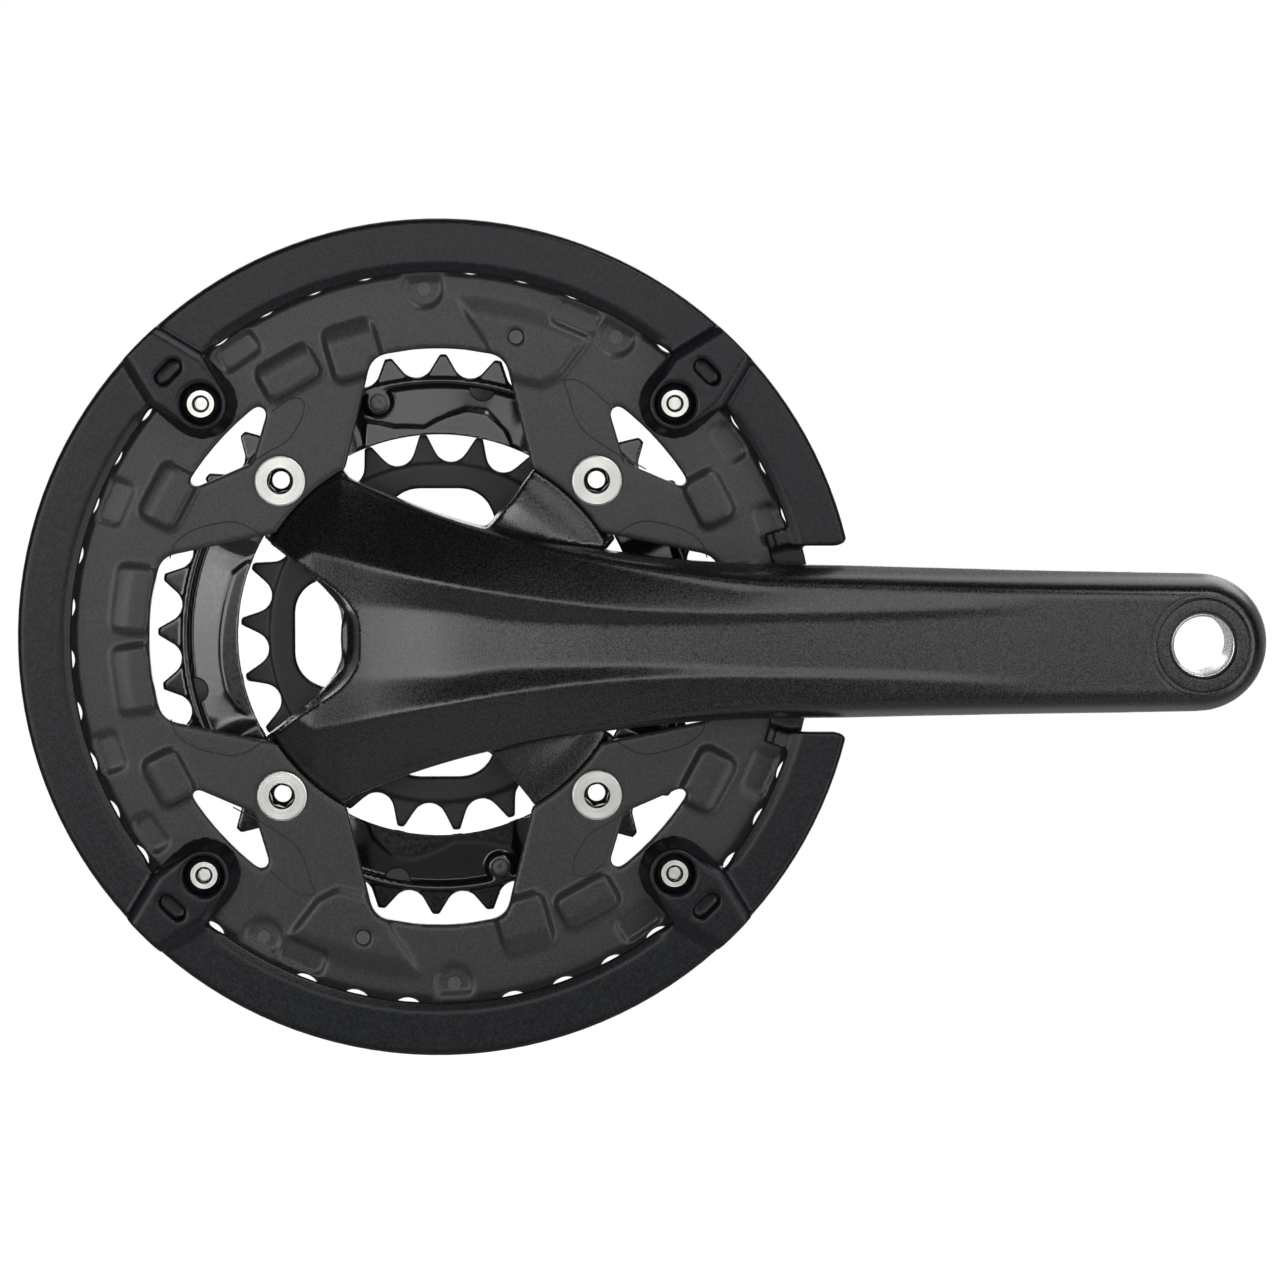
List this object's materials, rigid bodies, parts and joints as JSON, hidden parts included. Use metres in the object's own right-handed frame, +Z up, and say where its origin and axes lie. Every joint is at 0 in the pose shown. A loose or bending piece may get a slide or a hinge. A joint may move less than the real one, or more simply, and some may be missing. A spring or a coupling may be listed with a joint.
{
  "type": "bicycle crankset",
  "caption": "Forged black crank arm with a spider that carries toothed chainrings and a chain guard, turning with a hollow spindle in a threaded bottom bracket to drive a bicycle chain",
  "frame": {"origin": "On the spindle axis, in the middle plane of the frame's bottom bracket shell", "axes": "Z is up. Y is the spindle axis: the drive side, with the arm's outer face, looks to -Y and the spindle's free end to +Y. X runs along the crank arm, with the pedal eye at +X"},
  "size_m": [0.2885, 0.1486, 0.195],
  "materials": {
    "arm_black": "forged aluminium, fine-grained black anodised coat, satin",
    "spindle_steel": "turned steel, satin",
    "ring_grey": "stamped steel, matte dark grey coat",
    "pin_steel": "dark satin steel",
    "ring_gloss_black": "stamped steel, gloss black coat",
    "ring_satin_black": "stamped steel, satin black coat",
    "guard_plastic": "moulded black plastic, semi-matte",
    "fastener_steel": "plated steel, satin",
    "cup_black": "turned aluminium, black anodised, satin",
    "sleeve_plastic": "moulded black plastic, matte",
    "seal_rubber": "black rubber, matte",
    "spacer_plastic": "moulded black plastic, matte",
    "bearing_steel": "ground steel",
    "ball_steel": "polished steel",
    "cage_brass": "stamped brass, satin"
  },
  "bodies": {
    "bottom_bracket": {"right_cup": "cup_black", "left_cup": "cup_black", "sleeve": "sleeve_plastic", "sleeve_seals": "seal_rubber", "right_spacers": "spacer_plastic", "left_spacer": "spacer_plastic", "right_outer_race": "bearing_steel", "left_outer_race": "bearing_steel", "right_shields": "seal_rubber", "left_shields": "seal_rubber"},
    "crank": {"crank_arm": "arm_black", "spindle": "spindle_steel", "outer_chainring": "ring_grey", "shift_pins": "pin_steel", "middle_chainring": "ring_gloss_black", "inner_chainring": "ring_satin_black", "chain_guard": "guard_plastic", "guard_screws": "fastener_steel", "chainring_bolts": "fastener_steel", "chainring_nuts": "fastener_steel", "inner_ring_bolts": "fastener_steel", "right_inner_race": "bearing_steel", "left_inner_race": "bearing_steel", "right_bush": "sleeve_plastic", "left_bush": "sleeve_plastic"},
    "right_ball_set": {"right_balls": "ball_steel", "right_cage": "cage_brass"},
    "left_ball_set": {"left_balls": "ball_steel", "left_cage": "cage_brass"}
  },
  "joints": [
    {"name": "crank_spin", "type": "hinge", "parent": "bottom_bracket", "child": "crank", "pos_m": [0, 0, 0], "axis": [0, 1, 0], "continuous": true},
    {"name": "right_balls_roll", "type": "hinge", "parent": "bottom_bracket", "child": "right_ball_set", "pos_m": [0, -0.0442, 0], "axis": [0, 1, 0], "continuous": true},
    {"name": "left_balls_roll", "type": "hinge", "parent": "bottom_bracket", "child": "left_ball_set", "pos_m": [0, 0.0417, 0], "axis": [0, 1, 0], "continuous": true}
  ],
  "couplings": [
    {"joint": "right_balls_roll", "follows": "crank_spin", "ratio": 0.444},
    {"joint": "left_balls_roll", "follows": "crank_spin", "ratio": 0.444}
  ]
}
